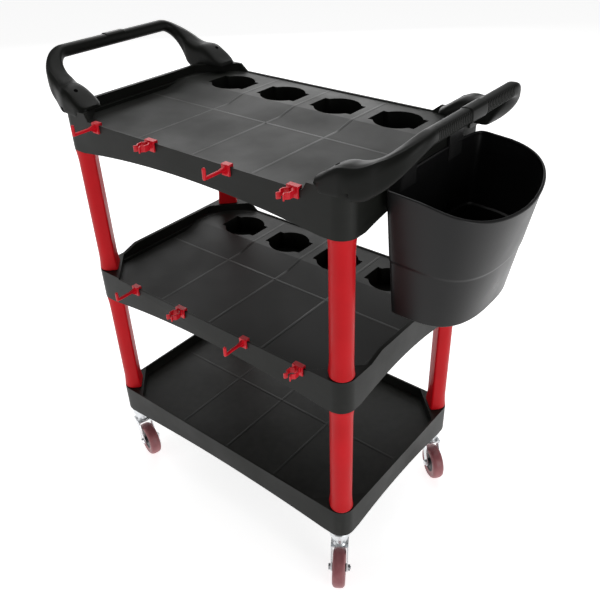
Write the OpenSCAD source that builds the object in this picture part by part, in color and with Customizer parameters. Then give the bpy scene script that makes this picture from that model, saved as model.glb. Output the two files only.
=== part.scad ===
/* [Trays] */
// Length of the trays along the long side
tray_length = 660; // [600:5:720]
// Width of the trays from front to back
tray_width = 412; // [390:2:440]
// Radius of the trays' upright corners
corner_radius = 30; // [24:1:36]
// Thickness of the moulded walls and floors
wall = 4; // [3:0.5:5]
// Depth of the skirt below the rim
skirt_depth = 66; // [55:1:75]
// Depth of the upper two trays' wells below the rim
upper_well = 11; // [8:1:16]
// Depth of the bottom tray's well below its rim
bottom_well = 25; // [18:1:32]
// Extra height of the upper two trays' ends above the long rims
end_rise = 14; // [10:1:16]
// Extra height of the middle tray's front corners above its long rims
front_rise = 3; // [1:1:8]

/* [Heights] */
// Height of the top tray's long rims
top_rim_z = 863; // [840:1:900]
// Height of the middle tray's long rims
middle_rim_z = 525; // [500:1:550]
// Height of the bottom tray's rim
bottom_rim_z = 203; // [195:1:215]

/* [Bottle wells] */
// Number of bottle wells along the back of each upper tray
hole_count = 4; // [2:1:4]
// Distance between neighbouring wells
hole_pitch = 135; // [125:1:140]
// Length of a well along the tray
hole_length = 96; // [90:1:100]
// Width of the straight part of a well
hole_width = 52; // [44:1:60]
// Diameter of the round part that widens the well
hole_round_d = 91; // [84:1:94]
// Distance of the wells from the tray's middle line
hole_y = 130; // [126:1:134]
// Depth of the wells below the strip
hole_depth = 40; // [30:1:42]

/* [Posts] */
// Width of a post at its middle
post_width = 41; // [36:1:42]
// Width of a post at its flared ends
post_end_width = 46; // [43:1:46]
// Length of the round peg under a post
peg_length = 24; // [18:1:28]

/* [Handles] */
// Distance of the grip bar's axis from the cart's middle
grip_x = 407; // [395:1:415]
// Height of the grip bar's axis
grip_z = 952; // [940:1:965]
// Half the length of the straight grip
grip_half_length = 125; // [110:1:135]
// Thickness of the grip bar
grip_size = 25; // [22:0.5:28]
// Distance of the handle pads' middle from the middle line
pad_y = 180; // [176:1:182]
// Width of a handle pad
pad_width = 54; // [46:1:56]
// Height of the handle pads' crown
pad_top_z = 908; // [900:1:915]

/* [Bin] */
// Height of the bin's rim at its back
bin_back_z = 857; // [845:1:860]
// Height of the bin's rim at its front
bin_front_z = 817; // [800:1:830]
// Height of the bin's bottom
bin_bottom_z = 622; // [600:1:640]
// Reach of the bin's mouth out from the tray
bin_reach = 172; // [150:1:180]
// Width of the bin's mouth
bin_width = 304; // [280:2:310]
// Height that the bin is lifted to unhook it
bin_lift = 9; // [7:1:10]

/* [Casters] */
// Diameter of the wheels
wheel_d = 80; // [76:1:82]
// Width of the wheel's tread
tread_width = 26; // [22:1:28]
// Distance of the axle from the swivel axis
trail = 25; // [20:1:28]
// Distance of the swivel axes from the cart's middle, along the long side
swivel_x = 302; // [298:1:304]
// Distance of the swivel axes from the cart's middle, front to back
swivel_y = 181.5; // [179:0.5:183]

/* [Hidden] */
$fn = 72;

// Corners of the cart: front left, front right, back left, back right
FL = [-1, -1];
FR = [1, -1];
BL = [-1, 1];
BR = [1, 1];
// Direction of each caster's trail at rest, in degrees from +X
trail_fl = -17;
trail_fr = -57;
trail_bl = -25;
trail_br = -38;

// The upper trays' back rims rise to their ends over this stretch
ramp_start = 230;
ramp_end = 248;
// The front rims rise further out, at the corner platforms
front_ramp_start = 250;
front_ramp_end = 258;
// The middle tray's ends rise from its front corners over this stretch
side_ramp_start = 128;
side_ramp_end = 96;
// Thickness of the end walls of the upper two trays
end_wall = 8;
// Underside arches of the skirts, and the straight stretch at each corner
upper_arch = 19;
lower_arch = 12;
arch_margin = 50;
// The floor rises from slope_front to slope_back, to a strip just under the back rim
slope_front = 40;
slope_back = 84;
strip_drop = 2;
// Wall and floor of the bottle wells
cup_wall = 2.5;
// Ledge along the foot of the upper trays' end walls, and the radius of its back corners
ledge_width = 9;
ledge_drop = 5;
ledge_corner_r = 110;
// Distance from a corner to the ends of the diagonal edge of its platform
corner_cut = 80;
socket_cut = 75;

// Posts: distance of the axis from the tray's sides, length of the flares, edges of the flat side
post_axis_in = 25;
post_flare = 34;
post_edge_r = 5;
head_shift = -1.5;
peg_d = 24;
peg_clearance = 0.2;
screw_d = 5;
screw_head_d = 9;
screw_length = 52;
screw_x = 299;
screw_y = 184.5;

// Handle shape
pad_inner_x = 258;
pad_bottom_z = 854;
bend_r = 45;
handle_rings = 30;
handle_sides = 20;
handle_power = 2.8;
bar_end = grip_half_length;
bend_length = bend_r * PI / 2;
bend_end = bar_end + bend_length;
path_end = bend_end + grip_x - bend_r - pad_inner_x;
arm_y = grip_half_length + bend_r;

// Bin shape
bin_x = tray_length / 2 + 2;
bin_y = 26;
bin_wall = 3;
bin_foot_reach = 133;
bin_foot_width = 244;
bin_segments = 44;
bin_levels = 6;
bin_clear_y = bin_y + bin_width / 2 + 5;
tab_width = 46;
tab_spacing = 150;
tab_gap = 0.4;
tab_thickness = 3;
tab_hang = bin_lift - 1;

// Hooks and clips: their places along the front rims
hook_reach = 51;
top_hook_x = [-226, 99];
middle_hook_x = [-196, 102];
top_clip_x = [-79, 234];
middle_clip_x = [-64, 230];
saddle_width = 16;
clip_width = 22;
saddle_wall = 3.4;
saddle_rise = 4;
saddle_drop = 15;
saddle_clearance = 4;
rod_d = 6;
clip_height = 11;

// Casters
race_z = 119;
race_d = 40;
stem_d = 11;
stem_length = 34;
kingpin_d = 10;
running_gap = 0.05;
fork_crown_z = 90;
leg_inner = 15;
leg_thickness = 2.6;
axle_d = 8;
hub_d = 46;

// Shift that puts the middle of the whole cart's box over the origin
box_x_high = bin_x + bin_reach;
box_x_low = -(grip_x + grip_size / 2);
box_y_high = max(tray_width / 2, pad_y + pad_width / 2);
box_y_low = -(tray_width / 2 + hook_reach);
centre_shift = [-(box_x_high + box_x_low) / 2, -(box_y_high + box_y_low) / 2, 0];

function clamp01(v) = min(1, max(0, v));
function smooth(a, b, v) = let (t = clamp01((v - a) / (b - a))) t * t * (3 - 2 * t);
function mix(a, b, t) = a + (b - a) * t;
function signed_power(v, p) = sign(v) * pow(abs(v), p);

module placed() {
  translate(centre_shift) children();
}

// ---------- trays ----------

module rounded_outline(length, width, radius) {
  square([length - 2 * radius, width], center = true);
  square([length, width - 2 * radius], center = true);
  for (sx = [-1, 1], sy = [-1, 1])
    translate([sx * (length / 2 - radius), sy * (width / 2 - radius)]) circle(radius);
}

// Outline of the tray drawn in by an inset
module tray_outline(inset) {
  rounded_outline(tray_length - 2 * inset, tray_width - 2 * inset, corner_radius - inset);
}

// Corner areas outside diagonal cuts that meet the sides at a distance cut from each corner.
// The list of rows holds -1 for the two front corners and 1 for the two back ones.
module corner_outline(inset, cut, rows = [-1, 1]) {
  intersection() {
    tray_outline(inset);
    for (sx = [-1, 1], sy = rows)
      scale([sx, sy])
        translate([tray_length / 2, tray_width / 2])
          polygon([[1, 1], [-cut, 1], [-cut, 0], [0, -cut], [1, -cut]]);
  }
}

// Bars across the skirts that cut the shallow arches into their lower edges
module arch_cutters(base_z, rise) {
  long_span = tray_length - 2 * arch_margin;
  short_span = tray_width - 2 * arch_margin;
  long_r = (long_span * long_span / 4 + rise * rise) / (2 * rise);
  short_r = (short_span * short_span / 4 + rise * rise) / (2 * rise);
  translate([0, 0, base_z + rise - long_r])
    rotate([90, 0, 0])
      cylinder(h = tray_width + 2, r = long_r, center = true, $fn = 720);
  translate([0, 0, base_z + rise - short_r])
    rotate([0, 90, 0])
      cylinder(h = tray_length + 2, r = short_r, center = true, $fn = 720);
}

// Outline of a bottle well: an oblong widened by a circle, grown by a margin
module bottle_outline(margin) {
  square([hole_length + 2 * margin, hole_width + 2 * margin], center = true);
  circle(hole_round_d / 2 + margin);
}

// Places something at the middle of every bottle well
module at_bottles(z) {
  for (i = [0 : hole_count - 1])
    translate([(i - (hole_count - 1) / 2) * hole_pitch, hole_y, z]) children();
}

// Area inside the ledges, with large round corners at the back
module ledge_opening() {
  half = tray_length / 2 - end_wall - ledge_width;
  low_y = -tray_width / 2 - 1;
  high_y = tray_width / 2;
  arc_y = high_y - ledge_corner_r;
  translate([-half, low_y]) square([2 * half, arc_y - low_y]);
  translate([ledge_corner_r - half, low_y]) square([2 * (half - ledge_corner_r), high_y - low_y]);
  for (side = [-1, 1]) translate([side * (half - ledge_corner_r), arc_y]) circle(ledge_corner_r);
}

// Skirt with the rim on top of it
module skirt(rim_z, rise) {
  base_z = rim_z - skirt_depth;
  difference() {
    translate([0, 0, base_z]) linear_extrude(skirt_depth + rise) tray_outline(0);
    translate([0, 0, base_z - 1]) linear_extrude(skirt_depth + rise + 2) tray_outline(wall);
  }
}

// Places something at the four handle screws
module at_screws() {
  for (sx = [-1, 1], sy = [-1, 1]) translate([sx * screw_x, sy * screw_y, 0]) children();
}

// Distance of a post's axis from the middle of the cart, along each side
post_x = tray_length / 2 - post_axis_in;
post_y = tray_width / 2 - post_axis_in;

// Places something at the four post axes
module at_posts() {
  for (sx = [-1, 1], sy = [-1, 1]) translate([sx * post_x, sy * post_y, 0]) children();
}

// Floor that is level at the front and rises to the bottle strip along the back
module sloped_floor(floor_z, strip_z) {
  low_y = -tray_width / 2;
  high_y = tray_width / 2;
  intersection() {
    translate([-tray_length / 2, 0, 0])
      rotate([90, 0, 90])
        linear_extrude(tray_length)
          polygon([
            [low_y, floor_z - wall], [slope_front, floor_z - wall], [slope_back, strip_z - wall],
            [high_y, strip_z - wall], [high_y, strip_z], [slope_back, strip_z],
            [slope_front, floor_z], [low_y, floor_z]
          ]);
    translate([0, 0, floor_z - 2 * wall]) linear_extrude(strip_z - floor_z + 4 * wall) tray_outline(wall / 2);
  }
}

// Height of the middle tray's corner platforms above its rim, in the front or the back row
function platform_rise(row) = row < 0 ? front_rise : end_rise;

// Cuts a long rim down to its own height between the two end ramps
module rim_cutter(rim_z, row, start, end) {
  top_z = rim_z + end_rise;
  intersection() {
    translate([0, tray_width / 2 + 1, 0])
      rotate([90, 0, 0])
        linear_extrude(tray_width + 2)
          polygon([
            [-start, rim_z], [start, rim_z], [end, top_z], [end, top_z + 1], [-end, top_z + 1], [-end, top_z]
          ]);
    translate([-tray_length / 2, row < 0 ? -tray_width / 2 - 1 : 0, rim_z - 1])
      cube([tray_length, tray_width / 2 + 1, end_rise + 3]);
  }
}

// Cuts the front ends of a tray down to its front corner platforms
module front_cutter(rim_z, rise) {
  low_z = rim_z + rise;
  top_z = rim_z + end_rise;
  front_y = -tray_width / 2 - 1;
  translate([-tray_length / 2 - 1, 0, 0])
    rotate([90, 0, 90])
      linear_extrude(tray_length + 2)
        polygon([
          [front_y, low_z], [-side_ramp_start, low_z], [-side_ramp_end, top_z + 0.01],
          [-side_ramp_end, top_z + 1], [front_y, top_z + 1]
        ]);
}

// Tray with raised ends, corner platforms and a row of bottle wells.
// The front corners stand up by front_top above the rim, and the back ones by end_rise.
module bottle_tray(rim_z, front_top) {
  top_z = rim_z + end_rise;
  floor_z = rim_z - upper_well;
  strip_z = rim_z - strip_drop;
  base_z = rim_z - skirt_depth;
  difference() {
    union() {
      skirt(rim_z, end_rise);
      sloped_floor(floor_z, strip_z);
      translate([0, 0, floor_z - wall])
        linear_extrude(top_z - floor_z + wall)
          difference() {
            tray_outline(wall / 2);
            square([tray_length - 2 * end_wall, tray_width], center = true);
          }
      translate([0, 0, floor_z - wall])
        linear_extrude(top_z - floor_z + wall) corner_outline(wall / 2, corner_cut);
      translate([0, 0, floor_z - wall])
        linear_extrude(rim_z - ledge_drop - floor_z + wall)
          difference() {
            tray_outline(wall / 2);
            ledge_opening();
          }
      at_bottles(strip_z - hole_depth - cup_wall)
        linear_extrude(hole_depth + cup_wall - 1) bottle_outline(cup_wall);
    }
    rim_cutter(rim_z, 1, ramp_start, ramp_end);
    rim_cutter(rim_z, -1, front_ramp_start, front_ramp_end);
    if (front_top < end_rise) front_cutter(rim_z, front_top);
    for (row = [-1, 1])
      translate([0, 0, base_z - 1])
        linear_extrude(rim_z + (row < 0 ? front_top : end_rise) - wall - base_z + 1)
          corner_outline(wall, socket_cut, [row]);
    at_bottles(strip_z - hole_depth) linear_extrude(hole_depth + 2) bottle_outline(0);
    arch_cutters(base_z, upper_arch);
  }
}

module top_tray() {
  color([0.2, 0.21, 0.2])
    placed()
      difference() {
        bottle_tray(top_rim_z, end_rise);
        at_screws() cylinder(h = top_rim_z + end_rise + 1, d = screw_d + 0.6);
      }
}

module middle_tray() {
  color([0.2, 0.21, 0.2])
    placed()
      difference() {
        bottle_tray(middle_rim_z, front_rise);
        at_posts()
          translate([0, 0, middle_rim_z - wall])
            cylinder(h = end_rise + wall + 1, d = peg_d + 2 * peg_clearance);
      }
}

// Tray with a level rim, corner shelves and sockets for the posts and casters
module bottom_tray() {
  base_z = bottom_rim_z - skirt_depth;
  color([0.2, 0.21, 0.2])
    placed()
      difference() {
        union() {
          skirt(bottom_rim_z, 0);
          translate([0, 0, bottom_rim_z - bottom_well - wall]) linear_extrude(wall) tray_outline(wall / 2);
          translate([0, 0, base_z + 2]) linear_extrude(skirt_depth - 2) corner_outline(wall / 2, corner_cut);
        }
        at_posts()
          translate([0, 0, bottom_rim_z - peg_length - 1])
            cylinder(h = peg_length + 2, d = peg_d + 2 * peg_clearance);
        for (sx = [-1, 1], sy = [-1, 1])
          translate([sx * swivel_x, sy * swivel_y, base_z - 1])
            cylinder(h = stem_length + 4, d = stem_d + 2 * running_gap);
        arch_cutters(base_z, lower_arch);
      }
}

// ---------- posts ----------

// Outline of a post at height z, with its round face towards the tray's corner at (+, +).
// The inner side is flat, with two rounded corners.
function post_ring(z, width, shift) =
  let (
    half = width / 2,
    back = half - (width - 6),
    round_face = [for (i = [0 : 16]) let (a = -90 + i * 180 / 16) half * [cos(a), sin(a)]],
    far_corner = [for (a = [105 : 25 : 180])
      [back + post_edge_r, half - post_edge_r] + post_edge_r * [cos(a), sin(a)]],
    near_corner = [for (a = [180 : 25 : 255])
      [back + post_edge_r, post_edge_r - half] + post_edge_r * [cos(a), sin(a)]]
  )
  [
    for (p = concat(round_face, far_corner, near_corner))
      [(p[0] - p[1]) / sqrt(2) + shift, (p[0] + p[1]) / sqrt(2) + shift, z]
  ];

// Closed solid through a list of rings with equal numbers of points, from the lowest to the highest
module stacked_rings(rings) {
  n = len(rings[0]);
  last = len(rings) - 1;
  sides = [
    for (r = [0 : last - 1], i = [0 : n - 1])
      let (j = (i + 1) % n, a = r * n, b = (r + 1) * n)
      each [[a + i, b + i, b + j], [a + i, b + j, a + j]]
  ];
  bottom = [[for (i = [0 : n - 1]) i]];
  top = [[for (i = [n - 1 : -1 : 0]) last * n + i]];
  polyhedron([for (ring = rings) each ring], concat(sides, bottom, top), convexity = 6);
}

// Post with flared ends, a head that plugs into the tray above and a peg that plugs in below
module post(foot_z, shoulder_z, head_z, corner) {
  head_width = post_width - 3;
  color([0.8, 0.08, 0.13])
    placed()
      scale([corner[0], corner[1], 1])
        translate([post_x, post_y, 0])
          difference() {
            union() {
              stacked_rings([
                post_ring(foot_z, post_end_width, 0),
                post_ring(foot_z + post_flare, post_width + 1, 0),
                post_ring((foot_z + shoulder_z) / 2, post_width, 0),
                post_ring(shoulder_z - post_flare, post_width + 1, 0),
                post_ring(shoulder_z, post_end_width, 0),
                post_ring(shoulder_z, head_width, head_shift),
                post_ring(head_z, head_width, head_shift)
              ]);
              translate([0, 0, foot_z - peg_length]) cylinder(h = peg_length + 1, d = peg_d);
            }
            children();
          }
}

// Upper post, with a pilot hole for the handle's screw in its head
module upper_post(corner) {
  head_z = top_rim_z + end_rise - wall;
  post(middle_rim_z + platform_rise(corner[1]), top_rim_z - skirt_depth, head_z, corner)
    translate([screw_x - post_x, screw_y - post_y, head_z - 36]) cylinder(h = 40, d = screw_d);
}

// Lower post, bored through its head for the upper post's peg
module lower_post(corner) {
  head_z = middle_rim_z + platform_rise(corner[1]) - wall;
  post(bottom_rim_z, middle_rim_z - skirt_depth, head_z, corner)
    translate([0, 0, bottom_rim_z + 12]) cylinder(h = head_z - bottom_rim_z, d = peg_d + 2 * peg_clearance);
}

// ---------- handles ----------

// Place on the handle's centre line at a distance s from the middle of the grip, with its heading
function handle_path(s) =
  s < bar_end ? [grip_x, s, 90] :
  s < bend_end ? let (a = (s - bar_end) / bend_r * 180 / PI)
    [grip_x - bend_r + bend_r * cos(a), bar_end + bend_r * sin(a), 90 + a] :
  [grip_x - bend_r - (s - bend_end), arm_y + (pad_y - arm_y) * smooth(bend_end, bend_end + 50, s), 180];

// Half width, low edge and high edge of the handle at a distance s
function handle_half_width(s) =
  mix(grip_size / 2, pad_width / 2, smooth(bar_end + 20, bend_end + 60, s));
function handle_low(s) = mix(grip_z - grip_size / 2, pad_bottom_z, smooth(bar_end, bend_end + 24, s));
function handle_high(s) = mix(grip_z + grip_size / 2, pad_top_z, smooth(bar_end, bend_end + 30, s));

// Draws the section in towards the end of the pad, as a rounded end
function handle_end(s) = let (e = clamp01((path_end - s) / 16)) sqrt(max(0.06, 1 - (1 - e) * (1 - e)));

function handle_ring(s, side) =
  let (
    at = handle_path(abs(s)),
    heading = at[2],
    half = handle_half_width(abs(s)) * mix(0.5, 1, handle_end(abs(s))),
    low = handle_low(abs(s)),
    high = handle_high(abs(s)),
    mid = (low + high) / 2,
    rise = (high - low) / 2 * mix(0.8, 1, handle_end(abs(s)))
  )
  [
    for (i = [0 : handle_sides - 1])
      let (
        a = 360 * i / handle_sides,
        out = half * signed_power(cos(a), 2 / handle_power),
        up = rise * signed_power(sin(a), 2 / handle_power)
      )
      [side * (at[0] + sin(heading) * out), sign(s) * (at[1] - cos(heading) * out), mid + up]
  ];

// Closed solid swept from one pad round the grip to the other pad
module handle_sweep(side) {
  half_steps = [for (i = [0 : handle_rings - 1]) 1 - pow(i / handle_rings, 1.15)];
  far = [for (t = half_steps) -t * path_end];
  near = [for (i = [handle_rings - 1 : -1 : 0]) half_steps[i] * path_end];
  stations = concat(far, near);
  rings = [for (s = stations) handle_ring(s, side)];
  points = [for (ring = rings) each ring];
  n = handle_sides;
  last = len(rings) - 1;
  sides = [
    for (r = [0 : last - 1], i = [0 : n - 1])
      let (j = (i + 1) % n)
      [r * n + i, r * n + j, (r + 1) * n + j, (r + 1) * n + i]
  ];
  start_cap = [[for (i = [n - 1 : -1 : 0]) i]];
  end_cap = [[for (i = [0 : n - 1]) last * n + i]];
  faces = concat(sides, start_cap, end_cap);
  turned = [for (f = faces) [for (i = [len(f) - 1 : -1 : 0]) f[i]]];
  polyhedron(points, side > 0 ? turned : faces, convexity = 6);
}

module handle(side) {
  seat_z = top_rim_z + end_rise;
  color([0.16, 0.16, 0.16])
    placed()
      difference() {
        handle_sweep(side);
        translate([0, 0, pad_bottom_z - 10])
          linear_extrude(seat_z - pad_bottom_z + 10) tray_outline(0);
        translate([side * (bin_x + 14) - 20, -bin_clear_y, pad_bottom_z - 10])
          cube([40, 2 * bin_clear_y, seat_z - pad_bottom_z + 10]);
        at_screws() cylinder(h = pad_top_z + 10, d = screw_d + 0.6);
        at_screws()
          translate([0, 0, pad_top_z - 8]) cylinder(h = 20, d = screw_head_d + 1);
      }
}

module left_handle() {
  handle(-1);
}

module right_handle() {
  handle(1);
}

// Long screws that hold the handle pads, the top tray and the post heads together
module handle_screws() {
  head_z = pad_top_z - 8;
  color("silver")
    placed()
      at_screws() {
        translate([0, 0, head_z - screw_length]) cylinder(h = screw_length + 1, d = screw_d);
        difference() {
          translate([0, 0, head_z]) cylinder(h = 3, d = screw_head_d);
          translate([0, 0, head_z + 1.5]) cylinder(h = 2, r = 2.4, $fn = 6);
        }
      }
}

// ---------- bin ----------

// Angles round the bin's front wall, crowded towards the two back corners
function bin_angle(i) = let (u = 2 * i / bin_segments - 1) 90 * sign(u) * (1 - pow(1 - abs(u), 2));

// Point of the bin's wall at step i, level t from 0 to 1 and an inset
function bin_point(i, t, inset) =
  let (
    a = bin_angle(i),
    reach = mix(bin_foot_reach, bin_reach, t) - 2 * inset,
    half = mix(bin_foot_width, bin_width, t) / 2 - inset,
    x = inset + reach * pow(abs(cos(a)), 2 / 5),
    y = half * signed_power(sin(a), 2 / mix(2.6, 1.8, t)),
    rim = bin_back_z - (bin_back_z - bin_front_z) * pow(x / bin_reach, 2.6)
  )
  [bin_x + x, bin_y + y, mix(bin_bottom_z + inset, rim, t)];

function bin_ring(t, inset) = [for (i = [0 : bin_segments]) bin_point(i, t, inset)];

// Open bucket with a flat back and a rim that falls towards the front
module bin_shell() {
  outer = [for (k = [0 : bin_levels]) bin_ring(k / bin_levels, 0)];
  inner = [for (k = [bin_levels : -1 : 0]) bin_ring(k / bin_levels, bin_wall)];
  rings = concat(outer, inner);
  n = bin_segments + 1;
  last = len(rings) - 1;
  points = [for (ring = rings) each ring];
  sides = [
    for (r = [0 : last - 1], i = [0 : n - 1])
      let (j = (i + 1) % n, a = r * n, b = (r + 1) * n)
      each [[a + i, b + i, b + j], [a + i, b + j, a + j]]
  ];
  bottom = [[for (i = [0 : n - 1]) i]];
  floor_face = [[for (i = [n - 1 : -1 : 0]) last * n + i]];
  polyhedron(points, concat(sides, bottom, floor_face), convexity = 8);
}

// Tab from the bin's back over the tray's end wall and down inside it
module bin_tab() {
  over_z = top_rim_z + end_rise + tab_gap;
  inside_x = tray_length / 2 - end_wall - tab_gap - tab_thickness;
  translate([bin_x, -tab_width / 2, bin_back_z - 26])
    cube([bin_wall, tab_width, over_z + tab_thickness - bin_back_z + 26]);
  translate([inside_x, -tab_width / 2, over_z])
    cube([bin_x + bin_wall - inside_x, tab_width, tab_thickness]);
  translate([inside_x, -tab_width / 2, over_z - tab_hang])
    cube([tab_thickness, tab_width, tab_hang + tab_thickness]);
}

module utility_bin() {
  color([0.17, 0.17, 0.18])
    placed() {
      bin_shell();
      for (s = [-1, 1]) translate([0, bin_y + s * tab_spacing / 2, 0]) bin_tab();
    }
}

// ---------- hooks and clips ----------

// Cap that snaps over the front rim, with its outer plate against the skirt
module saddle(rim_z, width) {
  face_y = -tray_width / 2;
  translate([-width / 2, face_y - saddle_wall, rim_z - saddle_drop])
    cube([width, saddle_wall, saddle_drop + saddle_rise]);
  translate([-width / 2, face_y - saddle_wall, rim_z])
    cube([width, wall + 2 * saddle_wall, saddle_rise]);
  translate([-width / 2, face_y + wall, rim_z - upper_well + saddle_clearance])
    cube([width, saddle_wall, upper_well - saddle_clearance + saddle_rise]);
}

// Hook arm with a gusset under its root and a turned-up tip
module hook(x, rim_z) {
  face_y = -tray_width / 2;
  rod_r = rod_d / 2;
  tip_y = face_y - hook_reach + rod_r;
  arm_z = rim_z - 4;
  color([0.84, 0.09, 0.15])
    placed()
      translate([x, 0, 0]) {
        saddle(rim_z, saddle_width);
        translate([0, face_y, arm_z]) rotate([90, 0, 0]) cylinder(h = hook_reach - rod_r, d = rod_d);
        translate([0, tip_y, arm_z]) sphere(d = rod_d);
        translate([0, tip_y, arm_z]) cylinder(h = 15, d = rod_d);
        translate([0, tip_y, arm_z + 15]) sphere(d = rod_d);
        translate([-2, face_y, 0])
          rotate([90, 0, 90])
            linear_extrude(4)
              polygon([[0, rim_z - saddle_drop], [-18, arm_z], [-18, arm_z + 2], [0, rim_z + 3]]);
      }
}

// One spring jaw of a clip: it bulges out, pinches in and flares at its tip
module jaw_outline(side) {
  t = 2.6;
  scale([side, 1])
    polygon([
      [2, 0], [2, -4], [7.5, -9], [7.5, -16], [2, -22], [5.6, -28],
      [5.6 + t, -27], [2 + t + 0.6, -22], [7.5 + t, -17], [7.5 + t, -8], [2 + t + 1, -2.6], [2 + t + 1, 0]
    ]);
}

module clip(x, rim_z) {
  face_y = -tray_width / 2 - saddle_wall;
  color([0.84, 0.09, 0.15])
    placed()
      translate([x, 0, 0]) {
        saddle(rim_z, clip_width);
        translate([0, face_y, rim_z - clip_height + 2])
          linear_extrude(clip_height)
            for (s = [-1, 1]) jaw_outline(s);
      }
}

module top_hook_left() {
  hook(top_hook_x[0], top_rim_z);
}

module top_hook_right() {
  hook(top_hook_x[1], top_rim_z);
}

module middle_hook_left() {
  hook(middle_hook_x[0], middle_rim_z);
}

module middle_hook_right() {
  hook(middle_hook_x[1], middle_rim_z);
}

module top_clip_left() {
  clip(top_clip_x[0], top_rim_z);
}

module top_clip_right() {
  clip(top_clip_x[1], top_rim_z);
}

module middle_clip_left() {
  clip(middle_clip_x[0], middle_rim_z);
}

module middle_clip_right() {
  clip(middle_clip_x[1], middle_rim_z);
}

// ---------- casters ----------

module at_caster(corner) {
  placed() translate([corner[0] * swivel_x, corner[1] * swivel_y, 0]) children();
}

// Stem, upper race and kingpin, all fixed to the tray
module caster_stem(corner) {
  base_z = bottom_rim_z - skirt_depth;
  color("silver")
    at_caster(corner) {
      translate([0, 0, base_z - 3]) cylinder(h = stem_length, d = stem_d);
      translate([0, 0, base_z - 4]) cylinder(h = 4, d = 28);
      rotate_extrude()
        polygon([
          [0, race_z + 2], [kingpin_d / 2 + 1, race_z + 2], [race_d / 2 - 3, race_z + 2],
          [race_d / 2 - 2, race_z - 3], [race_d / 2, race_z - 3], [race_d / 2, race_z + 9],
          [race_d / 2 - 3, race_z + 13], [14, base_z - 4], [0, base_z - 4]
        ]);
      translate([0, 0, fork_crown_z - 5]) cylinder(h = race_z + 3 - fork_crown_z + 5, d = kingpin_d);
    }
}

// Ring of balls in its cage, between the two races
module ball_race(corner) {
  ring_r = 12;
  ball_d = 5;
  balls = 9;
  ball_z = race_z - 1.4;
  color("gainsboro")
    at_caster(corner) {
      difference() {
        translate([0, 0, ball_z - 0.8]) cylinder(h = 1.6, r = ring_r + 3);
        translate([0, 0, ball_z - 2]) cylinder(h = 4, r = ring_r - 3);
      }
      for (i = [0 : balls - 1])
        rotate([0, 0, i * 360 / balls]) translate([ring_r, 0, ball_z]) sphere(d = ball_d, $fn = 24);
    }
}

// Side plate of the fork, from the crown down to the axle
module fork_leg() {
  rotate([90, 0, 0])
    linear_extrude(leg_thickness) {
      hull() {
        translate([trail, wheel_d / 2]) circle(8.5, $fn = 32);
        translate([4, fork_crown_z - 6]) circle(9, $fn = 32);
      }
      hull() {
        translate([4, fork_crown_z - 6]) circle(9, $fn = 32);
        translate([-15, fork_crown_z - 2]) square([32, 5]);
      }
    }
}

// Swivelling fork: lower race, crown and two legs
module caster_fork(corner, angle) {
  race_bottom = race_z - 8;
  color("gainsboro")
    at_caster(corner)
      rotate([0, 0, angle])
        difference() {
          union() {
            rotate_extrude()
              polygon([
                [0, fork_crown_z], [17, fork_crown_z], [17, fork_crown_z + 5],
                [14, fork_crown_z + 8], [14, race_bottom], [race_d / 2 - 3, race_bottom + 1.5],
                [race_d / 2 - 3, race_z - 4], [0, race_z - 4]
              ]);
            translate([-15, -leg_inner - leg_thickness, fork_crown_z])
              cube([32, 2 * (leg_inner + leg_thickness), 3]);
            translate([0, -leg_inner, 0]) fork_leg();
            translate([0, leg_inner + leg_thickness, 0]) fork_leg();
          }
          translate([0, 0, fork_crown_z - 10])
            cylinder(h = race_z, d = kingpin_d + 2 * running_gap);
          translate([trail, 0, wheel_d / 2])
            rotate([90, 0, 0]) cylinder(h = 60, d = axle_d + 2 * running_gap, center = true);
        }
}

// Places something on the wheel's axle, with the axle along Z
module at_axle(corner, angle) {
  at_caster(corner)
    rotate([0, 0, angle]) translate([trail, 0, wheel_d / 2]) rotate([90, 0, 0]) children();
}

// Tread with rounded shoulders
module tyre(corner, angle) {
  half = tread_width / 2;
  r = wheel_d / 2;
  color([0.52, 0.22, 0.24])
    at_axle(corner, angle)
      rotate_extrude($fn = 96)
        polygon([
          [hub_d / 2, -half + 2], [r - 9, -half + 1], [r - 6, -half],
          [r - 2.5, -half + 2], [r - 0.7, -half + 5],
          [r, -half + 9], [r, half - 9], [r - 0.7, half - 5], [r - 2.5, half - 2], [r - 6, half],
          [r - 9, half - 1], [hub_d / 2, half - 2]
        ]);
}

// Hub that runs on the axle bolt
module wheel_hub(corner, angle) {
  half = leg_inner - 0.4;
  color([0.14, 0.14, 0.15])
    at_axle(corner, angle)
      difference() {
        rotate_extrude()
          polygon([
            [0, -half], [8, -half], [9, -half + 4], [hub_d / 2 - 4, -half + 6], [hub_d / 2, -half + 4],
            [hub_d / 2, half - 4], [hub_d / 2 - 4, half - 6], [9, half - 4], [8, half], [0, half]
          ]);
        cylinder(h = 3 * half, d = axle_d + 2 * running_gap, center = true);
      }
}

// Bolt through both legs and the hub, with a hexagonal head
module axle_bolt(corner, angle) {
  outer = leg_inner + leg_thickness;
  color("silver")
    at_axle(corner, angle) {
      translate([0, 0, -outer - 6]) cylinder(h = 2 * outer + 6 + 1, d = axle_d);
      translate([0, 0, outer]) cylinder(h = 4.4, d = 14, $fn = 6);
    }
}

module axle_nut(corner, angle) {
  outer = leg_inner + leg_thickness;
  color("silver")
    at_axle(corner, angle)
      difference() {
        translate([0, 0, -outer - 4.6]) cylinder(h = 4.6, d = 14, $fn = 6);
        translate([0, 0, -outer - 5]) cylinder(h = 6, d = axle_d + 2 * running_gap);
      }
}

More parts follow.
